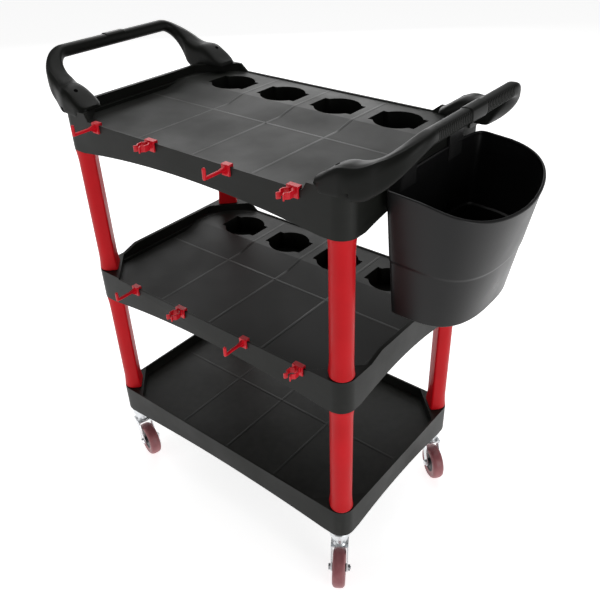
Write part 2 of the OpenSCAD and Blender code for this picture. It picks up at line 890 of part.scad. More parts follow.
top_tray();
middle_tray();
bottom_tray();
upper_post(FL);  // upper_post_fl
upper_post(FR);  // upper_post_fr
upper_post(BL);  // upper_post_bl
upper_post(BR);  // upper_post_br
lower_post(FL);  // lower_post_fl
lower_post(FR);  // lower_post_fr
lower_post(BL);  // lower_post_bl
lower_post(BR);  // lower_post_br
left_handle();
right_handle();
handle_screws();
utility_bin();
top_hook_left();
top_hook_right();
middle_hook_left();
middle_hook_right();
top_clip_left();
top_clip_right();
middle_clip_left();
middle_clip_right();
caster_stem(FL);  // caster_stem_fl
caster_stem(FR);  // caster_stem_fr
caster_stem(BL);  // caster_stem_bl
caster_stem(BR);  // caster_stem_br
ball_race(FL);  // ball_race_fl
ball_race(FR);  // ball_race_fr
ball_race(BL);  // ball_race_bl
ball_race(BR);  // ball_race_br
caster_fork(FL, trail_fl);  // caster_fork_fl
caster_fork(FR, trail_fr);  // caster_fork_fr
caster_fork(BL, trail_bl);  // caster_fork_bl
caster_fork(BR, trail_br);  // caster_fork_br
tyre(FL, trail_fl);  // tyre_fl
tyre(FR, trail_fr);  // tyre_fr
tyre(BL, trail_bl);  // tyre_bl
tyre(BR, trail_br);  // tyre_br
wheel_hub(FL, trail_fl);  // wheel_hub_fl
wheel_hub(FR, trail_fr);  // wheel_hub_fr
wheel_hub(BL, trail_bl);  // wheel_hub_bl
wheel_hub(BR, trail_br);  // wheel_hub_br
axle_bolt(FL, trail_fl);  // axle_bolt_fl
axle_bolt(FR, trail_fr);  // axle_bolt_fr
axle_bolt(BL, trail_bl);  // axle_bolt_bl
axle_bolt(BR, trail_br);  // axle_bolt_br
axle_nut(FL, trail_fl);  // axle_nut_fl
axle_nut(FR, trail_fr);  // axle_nut_fr
axle_nut(BL, trail_bl);  // axle_nut_bl
axle_nut(BR, trail_br);  // axle_nut_br
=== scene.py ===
"""Visual model of a rolling utility cart with three trays, red posts, two handles and a hanging bin.

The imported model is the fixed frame. New pieces are surfaces worked out with numpy from a few sizes in
metres, and they take their places from the frame. Every finish is a procedural material.
"""

import logging
import math
from dataclasses import dataclass, field
from enum import Enum

import bmesh
import bpy
import numpy as np
from mathutils import Matrix, Vector


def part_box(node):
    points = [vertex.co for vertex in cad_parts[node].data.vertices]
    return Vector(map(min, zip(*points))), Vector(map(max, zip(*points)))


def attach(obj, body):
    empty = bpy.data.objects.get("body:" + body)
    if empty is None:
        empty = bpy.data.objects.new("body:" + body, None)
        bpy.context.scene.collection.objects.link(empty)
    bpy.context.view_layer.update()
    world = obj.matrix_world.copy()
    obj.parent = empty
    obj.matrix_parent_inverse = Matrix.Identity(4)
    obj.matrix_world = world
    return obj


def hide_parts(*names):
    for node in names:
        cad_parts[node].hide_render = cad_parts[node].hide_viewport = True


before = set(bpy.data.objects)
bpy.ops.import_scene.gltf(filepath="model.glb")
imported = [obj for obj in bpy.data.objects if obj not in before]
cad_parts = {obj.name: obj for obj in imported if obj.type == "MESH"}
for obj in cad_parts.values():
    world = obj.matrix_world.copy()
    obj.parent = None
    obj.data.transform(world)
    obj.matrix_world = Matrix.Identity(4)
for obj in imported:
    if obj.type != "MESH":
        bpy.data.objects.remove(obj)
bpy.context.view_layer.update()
MM = 0.001
LOG = logging.getLogger("cart")


# ---------- curves and meshes ----------


def smooth(start: float, end: float, value: np.ndarray) -> np.ndarray:
    """Rises from 0 at start to 1 at end, along the cubic t*t*(3 - 2t).

    Args:
        start: value at which the rise begins.
        end: value at which the rise ends.
        value: one number or an array of them.

    Returns:
        The share of the rise, from 0 to 1, for each value.
    """
    t = np.clip((value - start) / (end - start), 0.0, 1.0)
    return t * t * (3.0 - 2.0 * t)


def mix(low: np.ndarray, high: np.ndarray, share: np.ndarray) -> np.ndarray:
    """Returns low where share is 0, high where it is 1, and a straight blend between."""
    return low + (high - low) * share


def signed_power(value: np.ndarray, power: float) -> np.ndarray:
    """Returns the power of the size of a value, with the sign of the value."""
    return np.sign(value) * np.abs(value) ** power


def grid_faces(rows: int, columns: int, wrap_rows: bool, wrap_columns: bool) -> np.ndarray:
    """Quads of a grid of rows by columns of vertices, numbered row by row.

    Args:
        rows: number of rows of vertices.
        columns: number of vertices in a row.
        wrap_rows: whether the last row joins the first.
        wrap_columns: whether the last vertex of a row joins its first.

    Returns:
        An array of four vertex numbers per face.
    """
    r = np.arange(rows if wrap_rows else rows - 1)
    c = np.arange(columns if wrap_columns else columns - 1)
    r, c = (g.ravel() for g in np.meshgrid(r, c, indexing="ij"))
    r2, c2 = (r + 1) % rows, (c + 1) % columns
    return np.stack([r * columns + c, r2 * columns + c, r2 * columns + c2, r * columns + c2], axis=1)


def new_object(name: str, vertices: np.ndarray, faces: list, crease: float = 40.0) -> bpy.types.Object:
    """Makes a smooth-shaded mesh object with its faces turned outwards.

    Args:
        name: name of the object.
        vertices: array of points, in metres.
        faces: lists of vertex numbers.
        crease: angle in degrees past which an edge stays sharp.

    Returns:
        The new object, linked to the scene.
    """
    mesh = bpy.data.meshes.new(name)
    mesh.from_pydata(np.asarray(vertices).reshape(-1, 3), [], faces)
    work = bmesh.new()
    work.from_mesh(mesh)
    bmesh.ops.remove_doubles(work, verts=work.verts, dist=0.00001)
    bmesh.ops.recalc_face_normals(work, faces=work.faces)
    work.to_mesh(mesh)
    work.free()
    mesh.polygons.foreach_set("use_smooth", np.ones(len(mesh.polygons), bool))
    mesh.set_sharp_from_angle(angle=math.radians(crease))
    piece = bpy.data.objects.new(name, mesh)
    bpy.context.scene.collection.objects.link(piece)
    return piece


def grid_object(name: str, points: np.ndarray, wrap_rows: bool = False, crease: float = 40.0,
                cap: bool = True) -> bpy.types.Object:
    """Makes an object from a grid of closed rings, with its two ends closed by flat faces.

    Args:
        name: name of the object.
        points: array of rows by columns by 3. Each row is a closed ring.
        wrap_rows: whether the last ring joins the first, so that there are no ends.
        crease: angle in degrees past which an edge stays sharp.
        cap: whether the first and last rings are closed by a face.

    Returns:
        The new object.
    """
    rows, columns = points.shape[:2]
    faces = grid_faces(rows, columns, wrap_rows, True).tolist()
    if cap and not wrap_rows:
        faces.append(list(range(columns)))
        faces.append([(rows - 1) * columns + i for i in range(columns)])
    return new_object(name, points, faces, crease)


def joined(name: str, parts: list, crease: float = 40.0) -> bpy.types.Object:
    """Joins several point grids into one object.

    Args:
        name: name of the object.
        parts: list of pairs of vertices and faces.
        crease: angle in degrees past which an edge stays sharp.

    Returns:
        The new object.
    """
    starts = np.cumsum([0] + [len(v) for v, _ in parts])
    vertices = np.concatenate([v for v, _ in parts])
    faces = [[start + i for i in face] for (_, fs), start in zip(parts, starts) for face in fs]
    return new_object(name, vertices, faces, crease)


def softened_copy(name: str, node: str, width: float, segments: int = 2) -> bpy.types.Object:
    """Copies a node of the frame, merges its triangles and rounds its edges.

    Args:
        name: name of the new object.
        node: node of the frame that the object copies.
        width: width of the rounding, in metres.
        segments: number of faces across the rounding.

    Returns:
        The new object, which replaces the node.
    """
    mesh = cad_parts[node].data.copy()
    mesh.name = name
    work = bmesh.new()
    work.from_mesh(mesh)
    bmesh.ops.remove_doubles(work, verts=work.verts, dist=0.00002)
    bmesh.ops.dissolve_limit(work, angle_limit=math.radians(0.8), verts=work.verts, edges=work.edges)
    for face in work.faces:
        face.smooth = True
    work.to_mesh(mesh)
    work.free()
    if "custom_normal" in mesh.attributes:
        mesh.attributes.remove(mesh.attributes["custom_normal"])
    piece = bpy.data.objects.new(name, mesh)
    bpy.context.scene.collection.objects.link(piece)
    bevel = piece.modifiers.new("rounded_edges", "BEVEL")
    bevel.width = width
    bevel.segments = segments
    bevel.limit_method = "ANGLE"
    bevel.angle_limit = math.radians(28.0)
    bevel.harden_normals = True
    bevel.use_clamp_overlap = True
    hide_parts(node)
    return piece


def dress(piece: bpy.types.Object, material: bpy.types.Material) -> None:
    """Gives a whole object one material."""
    piece.data.materials.clear()
    piece.data.materials.append(material)


def place(piece: bpy.types.Object, body: str, finish: "Finish", *nodes: str) -> bpy.types.Object:
    """Dresses a piece, makes it ride on a body and hides the nodes of the frame that it replaces.

    Args:
        piece: the object, finished and in its place.
        body: name of the body that it moves with.
        finish: its finish.
        nodes: nodes of the frame that it replaces.

    Returns:
        The same piece.
    """
    dress(piece, finish.material())
    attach(piece, body)
    if nodes:
        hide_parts(*nodes)
    LOG.info("%s rides on %s", piece.name, body)
    return piece


# ---------- finishes ----------


class Groups:
    """Shader node groups, each built once and used by several finishes."""

    @staticmethod
    def new(name: str, inputs: list, outputs: list) -> tuple:
        """Starts a group with float or colour sockets.

        Args:
            name: name of the group.
            inputs: pairs of a socket's name and its default value.
            outputs: pairs of a socket's name and its type.

        Returns:
            The group's tree, its input node and its output node.
        """
        tree = bpy.data.node_groups.new(name, "ShaderNodeTree")
        coordinates = tree.interface.new_socket("Vector", in_out="INPUT", socket_type="NodeSocketVector")
        coordinates.hide_value = True
        for label, value in inputs:
            socket = tree.interface.new_socket(label, in_out="INPUT", socket_type="NodeSocketFloat")
            socket.default_value = value
        for label, kind in outputs:
            tree.interface.new_socket(label, in_out="OUTPUT", socket_type=kind)
        return tree, tree.nodes.new("NodeGroupInput"), tree.nodes.new("NodeGroupOutput")

    @classmethod
    def grain(cls) -> bpy.types.NodeTree:
        """Fine moulded texture: two noises of different scale, added as a height.

        Returns:
            The node group, with an output Height.
        """
        if "moulded_grain" in bpy.data.node_groups:
            return bpy.data.node_groups["moulded_grain"]
        tree, inputs, outputs = cls.new(
            "moulded_grain", [("Fine Scale", 900.0), ("Coarse Scale", 45.0), ("Coarse Share", 0.5)],
            [("Height", "NodeSocketFloat")])
        fine = tree.nodes.new("ShaderNodeTexNoise")
        fine.inputs["Detail"].default_value = 2.0
        coarse = tree.nodes.new("ShaderNodeTexNoise")
        coarse.inputs["Detail"].default_value = 3.0
        scaled = tree.nodes.new("ShaderNodeMath")
        scaled.operation = "MULTIPLY_ADD"
        link = tree.links.new
        link(inputs.outputs["Vector"], fine.inputs["Vector"])
        link(inputs.outputs["Vector"], coarse.inputs["Vector"])
        link(inputs.outputs["Fine Scale"], fine.inputs["Scale"])
        link(inputs.outputs["Coarse Scale"], coarse.inputs["Scale"])
        link(coarse.outputs["Fac"], scaled.inputs[0])
        link(inputs.outputs["Coarse Share"], scaled.inputs[1])
        link(fine.outputs["Fac"], scaled.inputs[2])
        link(scaled.outputs["Value"], outputs.inputs["Height"])
        return tree

    @classmethod
    def clouds(cls) -> bpy.types.NodeTree:
        """Slow variation over a surface, for shade and gloss, with optional streaks along X.

        Returns:
            The node group, with outputs Mask and Streaks between 0 and 1.
        """
        if "surface_clouds" in bpy.data.node_groups:
            return bpy.data.node_groups["surface_clouds"]
        tree, inputs, outputs = cls.new(
            "surface_clouds", [("Scale", 7.0), ("Streak Scale", 26.0)],
            [("Mask", "NodeSocketFloat"), ("Streaks", "NodeSocketFloat")])
        link = tree.links.new
        soft = tree.nodes.new("ShaderNodeTexNoise")
        soft.inputs["Detail"].default_value = 4.0
        soft.inputs["Roughness"].default_value = 0.55
        spread = tree.nodes.new("ShaderNodeMapRange")
        spread.inputs["From Min"].default_value = 0.33
        spread.inputs["From Max"].default_value = 0.67
        stretch = tree.nodes.new("ShaderNodeVectorMath")
        stretch.operation = "MULTIPLY"
        stretch.inputs[1].default_value = (0.12, 0.12, 5.0)
        lines = tree.nodes.new("ShaderNodeTexNoise")
        lines.inputs["Detail"].default_value = 3.0
        narrow = tree.nodes.new("ShaderNodeMapRange")
        narrow.inputs["From Min"].default_value = 0.4
        narrow.inputs["From Max"].default_value = 0.7
        link(inputs.outputs["Vector"], soft.inputs["Vector"])
        link(inputs.outputs["Scale"], soft.inputs["Scale"])
        link(soft.outputs["Fac"], spread.inputs["Value"])
        link(spread.outputs["Result"], outputs.inputs["Mask"])
        link(inputs.outputs["Vector"], stretch.inputs[0])
        link(stretch.outputs["Vector"], lines.inputs["Vector"])
        link(inputs.outputs["Streak Scale"], lines.inputs["Scale"])
        link(lines.outputs["Fac"], narrow.inputs["Value"])
        link(narrow.outputs["Result"], outputs.inputs["Streaks"])
        return tree

    @classmethod
    def edge_wear(cls) -> bpy.types.NodeTree:
        """Light rubbed edges: where the surface is convex and a noise lets the rubbing through.

        Returns:
            The node group, with an output Mask between 0 and 1.
        """
        if "rubbed_edges" in bpy.data.node_groups:
            return bpy.data.node_groups["rubbed_edges"]
        tree, inputs, outputs = cls.new(
            "rubbed_edges", [("Breakup Scale", 60.0), ("Amount", 0.5)], [("Mask", "NodeSocketFloat")])
        link = tree.links.new
        shape = tree.nodes.new("ShaderNodeNewGeometry")
        convex = tree.nodes.new("ShaderNodeMapRange")
        convex.inputs["From Min"].default_value = 0.52
        convex.inputs["From Max"].default_value = 0.6
        breakup = tree.nodes.new("ShaderNodeTexNoise")
        breakup.inputs["Detail"].default_value = 4.0
        both = tree.nodes.new("ShaderNodeMath")
        both.operation = "MULTIPLY"
        amount = tree.nodes.new("ShaderNodeMath")
        amount.operation = "MULTIPLY"
        link(shape.outputs["Pointiness"], convex.inputs["Value"])
        link(inputs.outputs["Vector"], breakup.inputs["Vector"])
        link(inputs.outputs["Breakup Scale"], breakup.inputs["Scale"])
        link(convex.outputs["Result"], both.inputs[0])
        link(breakup.outputs["Fac"], both.inputs[1])
        link(both.outputs["Value"], amount.inputs[0])
        link(inputs.outputs["Amount"], amount.inputs[1])
        link(amount.outputs["Value"], outputs.inputs["Mask"])
        return tree


@dataclass(frozen=True)
class Finish:
    """A moulded or plated finish with grain, cloudy shade and rubbed edges.

    The base colour goes from dark to light with the clouds, and then to worn on rubbed edges.
    """

    name: str
    slot: str
    dark: tuple
    light: tuple
    worn: tuple
    roughness: float = 0.45
    roughness_spread: float = 0.08
    metallic: float = 0.0
    specular: float = 0.5
    coat: float = 0.0
    grain_scale: float = 900.0
    coarse_share: float = 0.5
    bump: float = 0.15
    bump_depth: float = 0.0002
    cloud_scale: float = 7.0
    streak_share: float = 0.0
    wear: float = 0.5

    def material(self) -> bpy.types.Material:
        """Builds the material on first use.

        Returns:
            The material.
        """
        if self.name in bpy.data.materials:
            return bpy.data.materials[self.name]
        material = bpy.data.materials.new(self.name)
        material.use_nodes = True
        tree = material.node_tree
        link = tree.links.new
        shader = tree.nodes["Principled BSDF"]
        shader.inputs["Metallic"].default_value = self.metallic
        shader.inputs["Specular IOR Level"].default_value = self.specular
        shader.inputs["Coat Weight"].default_value = self.coat
        shader.inputs["Coat Roughness"].default_value = 0.12
        where = tree.nodes.new("ShaderNodeTexCoord").outputs["Object"]
        grain = self.group(tree, Groups.grain(), where)
        grain.inputs["Fine Scale"].default_value = self.grain_scale
        grain.inputs["Coarse Share"].default_value = self.coarse_share
        clouds = self.group(tree, Groups.clouds(), where)
        clouds.inputs["Scale"].default_value = self.cloud_scale
        wear = self.group(tree, Groups.edge_wear(), where)
        wear.inputs["Amount"].default_value = self.wear
        bump = tree.nodes.new("ShaderNodeBump")
        bump.inputs["Strength"].default_value = self.bump
        bump.inputs["Distance"].default_value = self.bump_depth
        link(grain.outputs["Height"], bump.inputs["Height"])
        link(bump.outputs["Normal"], shader.inputs["Normal"])
        shade = self.colour_mix(tree, self.dark, self.light)
        link(clouds.outputs["Mask"], shade.inputs["Factor"])
        streaks = tree.nodes.new("ShaderNodeMath")
        streaks.operation = "MULTIPLY"
        streaks.inputs[1].default_value = self.streak_share
        link(clouds.outputs["Streaks"], streaks.inputs[0])
        streaked = self.colour_mix(tree, None, self.light)
        link(streaks.outputs["Value"], streaked.inputs["Factor"])
        link(shade.outputs["Result"], streaked.inputs["A"])
        rubbed = self.colour_mix(tree, None, self.worn)
        link(wear.outputs["Mask"], rubbed.inputs["Factor"])
        link(streaked.outputs["Result"], rubbed.inputs["A"])
        link(rubbed.outputs["Result"], shader.inputs["Base Color"])
        gloss = tree.nodes.new("ShaderNodeMapRange")
        gloss.inputs["To Min"].default_value = self.roughness - self.roughness_spread
        gloss.inputs["To Max"].default_value = self.roughness + self.roughness_spread
        link(clouds.outputs["Mask"], gloss.inputs["Value"])
        link(gloss.outputs["Result"], shader.inputs["Roughness"])
        return material

    @staticmethod
    def group(tree: bpy.types.NodeTree, group: bpy.types.NodeTree,
        where: bpy.types.NodeSocket) -> bpy.types.Node:
        """Places a shared group in a material and gives it the object's coordinates.

        Args:
            tree: the material's node tree.
            group: the shared group.
            where: the socket that gives the coordinates.

        Returns:
            The group's node.
        """
        node = tree.nodes.new("ShaderNodeGroup")
        node.node_tree = group
        tree.links.new(where, node.inputs["Vector"])
        return node

    @staticmethod
    def colour_mix(tree: bpy.types.NodeTree, first: tuple, second: tuple) -> "_MixSockets":
        """Adds a colour mix node.

        Args:
            tree: the material's node tree.
            first: colour at factor 0, or None where it is linked.
            second: colour at factor 1.

        Returns:
            The mix node.
        """
        node = tree.nodes.new("ShaderNodeMix")
        node.data_type = "RGBA"
        for label, colour in (("A", first), ("B", second)):
            if colour:
                socket = next(s for s in node.inputs if s.name == label and s.type == "RGBA")
                socket.default_value = (*colour, 1.0)
        return _MixSockets(node)


class _MixSockets:
    """Colour sockets of a mix node, found by name among its sockets of other types."""

    def __init__(self, node: bpy.types.Node) -> None:
        """Keeps the factor and the colour sockets of a mix node.

        Args:
            node: the mix node.
        """
        colour = {s.name: s for s in node.inputs if s.type == "RGBA"}
        self.inputs = {"Factor": node.inputs[0], **colour}
        self.outputs = {"Result": next(s for s in node.outputs if s.type == "RGBA")}


TRAY_PLASTIC = Finish(
    "tray_plastic", "black_tray_plastic", (0.0050, 0.0055, 0.0046), (0.009, 0.0097, 0.0082),
    (0.03, 0.032, 0.028), roughness=0.44, specular=0.17, grain_scale=700.0, bump=0.22,
    streak_share=0.5, wear=0.5)
# Lighter copy of the tray plastic, a painted highlight on the raised floor lines and gate marks.
TRAY_LINE_HIGHLIGHT = Finish(
    "tray_line_painted_highlight", "black_tray_plastic", (0.0085, 0.009, 0.0078), (0.013, 0.0138, 0.0122),
    (0.03, 0.032, 0.028), roughness=0.42, specular=0.2, grain_scale=700.0, bump=0.1, wear=0.3)
HANDLE_PLASTIC = Finish(
    "handle_plastic", "black_handle_plastic", (0.0045, 0.005, 0.004), (0.0075, 0.008, 0.007),
    (0.03, 0.033, 0.028), roughness=0.38, specular=0.13, grain_scale=1100.0, bump=0.18, wear=0.45)
# Near-black matte finish of the discs of painted shade over the handle screws' holes, standing in for the
# shade inside them.
SCREW_SHADE_PAINT = Finish(
    "painted_screw_shade", "black_handle_plastic", (0.0008, 0.0008, 0.0008),
    (0.0016, 0.0016, 0.0016), (0.004, 0.004, 0.004), roughness=0.9, specular=0.02,
    grain_scale=900.0, bump=0.05, wear=0.0)
BIN_PLASTIC = Finish(
    "bin_plastic", "black_bin_plastic", (0.005, 0.005, 0.0052), (0.008, 0.008, 0.0084),
    (0.05, 0.05, 0.05), roughness=0.34, specular=0.26, grain_scale=900.0, bump=0.1, cloud_scale=5.0,
    wear=0.4)
POST_PLASTIC = Finish(
    "post_plastic", "red_post_plastic", (0.50, 0.003, 0.007), (0.58, 0.005, 0.011),
    (0.7, 0.06, 0.07), roughness=0.45, specular=0.14, grain_scale=800.0, bump=0.12, cloud_scale=9.0,
    wear=0.35)
CLIP_PLASTIC = Finish(
    "clip_plastic", "red_clip_plastic", (0.54, 0.003, 0.012), (0.64, 0.006, 0.018),
    (0.8, 0.08, 0.1), roughness=0.35, specular=0.3, grain_scale=1500.0, bump=0.06, cloud_scale=30.0,
    wear=0.3)
ZINC = Finish(
    "zinc_plate", "bright_zinc", (0.62, 0.64, 0.66), (0.78, 0.8, 0.82), (0.9, 0.9, 0.9),
    roughness=0.3, roughness_spread=0.1, metallic=1.0, grain_scale=1800.0, bump=0.08,
    cloud_scale=60.0, wear=0.2)
RACE_STEEL = Finish(
    "race_steel", "bearing_steel", (0.5, 0.51, 0.52), (0.6, 0.61, 0.62), (0.7, 0.7, 0.7),
    roughness=0.25, roughness_spread=0.05, metallic=1.0, grain_scale=2400.0, bump=0.03,
    cloud_scale=80.0, wear=0.1)
TREAD = Finish(
    "maroon_tread_rubber", "maroon_tread", (0.26, 0.07, 0.08), (0.36, 0.12, 0.13),
    (0.5, 0.26, 0.27), roughness=0.38, grain_scale=1300.0, bump=0.1, cloud_scale=40.0, wear=0.6)
HUB_PLASTIC = Finish(
    "hub_plastic", "dark_hub_plastic", (0.02, 0.02, 0.022), (0.035, 0.035, 0.038), (0.1, 0.1, 0.1),
    roughness=0.45, grain_scale=1300.0, bump=0.1, cloud_scale=40.0, wear=0.4)


# ---------- the cart's layout ----------


class Level(Enum):
    """The three trays, by the name that their nodes begin with."""

    TOP = "top"
    MIDDLE = "middle"
    BOTTOM = "bottom"


CORNERS = {"fl": (-1, -1), "fr": (1, -1), "bl": (-1, 1), "br": (1, 1)}


@dataclass
class Layout:
    """Places shared by the sub-assemblies, taken from the frame."""

    skirt_depth: float = 0.066
    end_rise: float = 0.014
    front_rise: float = 0.003
    middle: Vector = field(init=False)
    half_length: float = field(init=False)
    half_width: float = field(init=False)

    def __post_init__(self) -> None:
        """Reads the top tray's box."""
        low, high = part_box("top_tray")
        self.middle = Vector(((low.x + high.x) / 2, (low.y + high.y) / 2, 0.0))
        self.half_length = (high.x - low.x) / 2
        self.half_width = (high.y - low.y) / 2

    def rim_z(self, level: Level) -> float:
        """Height of a tray's long rims."""
        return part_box(f"{level.value}_tray")[0].z + self.skirt_depth

    def shifted(self, points: np.ndarray) -> np.ndarray:
        """Moves points from the trays' middle to their place in the frame."""
        return np.asarray(points, float) + np.array([self.middle.x, self.middle.y, 0.0])


# ---------- stage ----------


@dataclass
class Studio:
    """Camera, soft lights and a pale floor."""

    layout: Layout
    camera_offset: tuple = (0.8455, -0.9301, 1.2959)
    azimuth: float = math.radians(39.02)
    elevation: float = math.radians(33.23)
    roll: float = -0.0267
    lens: float = 42.32
    shift: tuple = (-0.0153, -0.0092)
    floor_half: float = 30.0
    floor_glow: float = 0.75
    room_glow: float = 0.22
    low_aim: float = 0.4
    high_aim: float = 0.8
    softboxes: tuple = (
        ("overhead_softbox", (-0.3, 0.6, 2.8), "high", 2.4, 29.0),
        ("back_softbox", (-2.6, 2.9, 1.9), "high", 2.6, 46.0),
        ("front_softbox", (-1.4, -2.6, 1.2), "low", 1.6, 9.0),
        ("side_softbox", (2.9, -0.5, 1.0), "low", 1.6, 20.0))

    def build(self) -> None:
        """Makes the camera, the lights, the world and the floor."""
        self.camera()
        self.floor()
        self.world()
        middle = self.layout.middle
        aims = {"low": middle + Vector((0, 0, self.low_aim)),
        "high": middle + Vector((0, 0, self.high_aim))}
        for name, offset, aim, size, power in self.softboxes:
            self.softbox(name, middle + Vector(offset), aims[aim], size, power)

    def camera(self) -> None:
        """Points the camera: its back axis is found from azimuth and elevation, then rolled."""
        az, el = self.azimuth, self.elevation
        back = Vector((math.sin(az) * math.cos(el), -math.cos(az) * math.cos(el), math.sin(el)))
        right = Vector((0, 0, 1)).cross(back).normalized()
        up = back.cross(right)
        rolled_right = math.cos(self.roll) * right + math.sin(self.roll) * up
        rolled_up = -math.sin(self.roll) * right + math.cos(self.roll) * up
        data = bpy.data.cameras.new("camera")
        data.lens = self.lens
        data.sensor_width = 36.0
        data.shift_x, data.shift_y = self.shift
        camera = bpy.data.objects.new("camera", data)
        turn = Matrix((rolled_right, rolled_up, back)).transposed().to_4x4()
        camera.matrix_world = Matrix.Translation(self.layout.middle + Vector(self.camera_offset)) @ turn
        bpy.context.scene.collection.objects.link(camera)
        bpy.context.scene.camera = camera

    def softbox(self, name: str, place_at: Vector, aim: Vector, size: float, power: float) -> None:
        """Adds a square area light that faces a point.

        Args:
            name: name of the light.
            place_at: where it hangs.
            aim: the point that it faces.
            size: length of its side, in metres.
            power: its power, in watts.
        """
        data = bpy.data.lights.new(name, "AREA")
        data.size = size
        data.energy = power
        light = bpy.data.objects.new(name, data)
        light.location = place_at
        light.rotation_euler = (aim - place_at).to_track_quat("-Z", "Y").to_euler()
        bpy.context.scene.collection.objects.link(light)

    def floor(self) -> None:
        """Adds a wide pale floor under the wheels."""
        half = self.floor_half
        corners = np.array([[-half, -half, 0], [half, -half, 0], [half, half, 0], [-half, half, 0]])
        mesh = bpy.data.meshes.new("studio_floor")
        mesh.from_pydata(corners, [], [[0, 1, 2, 3]])
        floor = bpy.data.objects.new("studio_floor", mesh)
        bpy.context.scene.collection.objects.link(floor)
        material = bpy.data.materials.new("pale_floor")
        material.use_nodes = True
        shader = material.node_tree.nodes["Principled BSDF"]
        shader.inputs["Base Color"].default_value = (0.85, 0.85, 0.85, 1.0)
        shader.inputs["Roughness"].default_value = 0.9
        shader.inputs["Emission Color"].default_value = (1.0, 1.0, 1.0, 1.0)
        shader.inputs["Emission Strength"].default_value = self.floor_glow
        dress(floor, material)

    def world(self) -> None:
        """Lights the scene evenly from a white room."""
        world = bpy.data.worlds.new("white_room")
        world.use_nodes = True
        background = world.node_tree.nodes["Background"]
        background.inputs["Color"].default_value = (1.0, 1.0, 1.0, 1.0)
        background.inputs["Strength"].default_value = self.room_glow
        bpy.context.scene.world = world
        bpy.context.scene.view_settings.view_transform = "Standard"


# ---------- sub-assemblies ----------


@dataclass
class Trays:
    """The three moulded trays, with the marks that moulding leaves on their floors."""

    layout: Layout
    edge: float = 0.0012
    upper_well: float = 0.011
    bottom_well: float = 0.025
    strip_drop: float = 0.002
    slope: tuple = (0.040, 0.084)
    line_width: float = 0.0070
    line_rise: float = 0.0003
    cross_lines: tuple = (-0.134, 0.0, 0.134)
    line_reach: tuple = (0.309, 0.196)
    arc_half: float = 0.313
    arc_radius: float = 0.110

    def build(self) -> None:
        """Makes the trays with rounded edges, floor lines and gate marks."""
        for level in Level:
            node = f"{level.value}_tray"
            place(softened_copy(f"{node}_shell", node, self.edge), "root", TRAY_PLASTIC)
            # Floor lines and gate marks take the lighter colour of painted highlight.
            place(self.floor_lines(level), "root", TRAY_LINE_HIGHLIGHT)
            place(self.gate(level), "root", TRAY_LINE_HIGHLIGHT)

    def floor_z(self, level: Level, y: np.ndarray) -> np.ndarray:
        """Height of a tray's floor at a distance from its middle line.

        The upper trays' floor is level, then rises straight to the strip of bottle wells.

        Args:
            level: which tray.
            y: distance from the middle line, towards the back.

        Returns:
            The floor's height for each distance.
        """
        rim = self.layout.rim_z(level)
        if level is Level.BOTTOM:
            return rim - self.bottom_well + 0.0 * y
        share = np.clip((y - self.slope[0]) / (self.slope[1] - self.slope[0]), 0, 1)
        return mix(rim - self.upper_well, rim - self.strip_drop, share)

    def ribbon(self, x: np.ndarray, y: np.ndarray, level: Level) -> tuple:
        """Low rounded line along a path on the floor: a half ellipse carried along it.

        Args:
            x: the path's places along the tray.
            y: the path's places from front to back.
            level: which tray.

        Returns:
            Its vertices and faces.
        """
        step_x, step_y = np.gradient(x), np.gradient(y)
        size = np.hypot(step_x, step_y)
        side_x, side_y = -step_y / size, step_x / size
        turn = np.linspace(0, np.pi, 7)
        across = np.concatenate([np.cos(turn), [-0.6, 0.6]]) * self.line_width / 2
        up = np.concatenate([np.sin(turn) * self.line_rise, [-0.0006, -0.0006]])
        px = x[:, None] + side_x[:, None] * across
        py = y[:, None] + side_y[:, None] * across
        pz = self.floor_z(level, y)[:, None] + up[None, :]
        faces = grid_faces(len(x), len(up), False, True).tolist()
        faces += [list(range(len(up))), [(len(x) - 1) * len(up) + i for i in range(len(up))]]
        return self.layout.shifted(np.stack([px, py, pz], axis=-1).reshape(-1, 3)), faces

    def floor_lines(self, level: Level) -> bpy.types.Object:
        """One line along the floor, three across it, and round lines in the upper back corners.

        Args:
            level: which tray.

        Returns:
            The lines as one object.
        """
        reach_x, reach_y = self.line_reach
        along = np.linspace(-reach_x, reach_x, 90)
        parts = [self.ribbon(along, 0 * along, level)]
        across = np.linspace(-reach_y, reach_y, 80)
        parts += [self.ribbon(0 * across + x, across, level) for x in self.cross_lines]
        if level is not Level.BOTTOM:
            turn = np.linspace(0.0, np.pi / 2, 40)
            x = self.arc_half - self.arc_radius * (1 - np.cos(turn))
            y = self.layout.half_width - 0.004 - self.arc_radius * (1 - np.sin(turn))
            parts += [self.ribbon(side * x, y, level) for side in (-1, 1)]
        return joined(f"{level.value}_tray_floor_lines", parts, crease=60.0)

    def gate(self, level: Level) -> bpy.types.Object:
        """Small round mark in the middle of the floor, a profile turned round an upright axis.

        Args:
            level: which tray.

        Returns:
            The mark.
        """
        radius = np.array([0.0002, 0.0016, 0.0021, 0.0034, 0.0042, 0.0042])
        height = np.array([0.0009, 0.0009, 0.0004, 0.0004, 0.0001, -0.0006])
        a = np.linspace(0, 2 * np.pi, 32, endpoint=False)
        points = np.stack([
            radius[:, None] * np.cos(a), radius[:, None] * np.sin(a),
            height[:, None] + 0 * a + float(self.floor_z(level, np.zeros(1))[0])], axis=-1)
        return grid_object(f"{level.value}_tray_gate", self.layout.shifted(points))


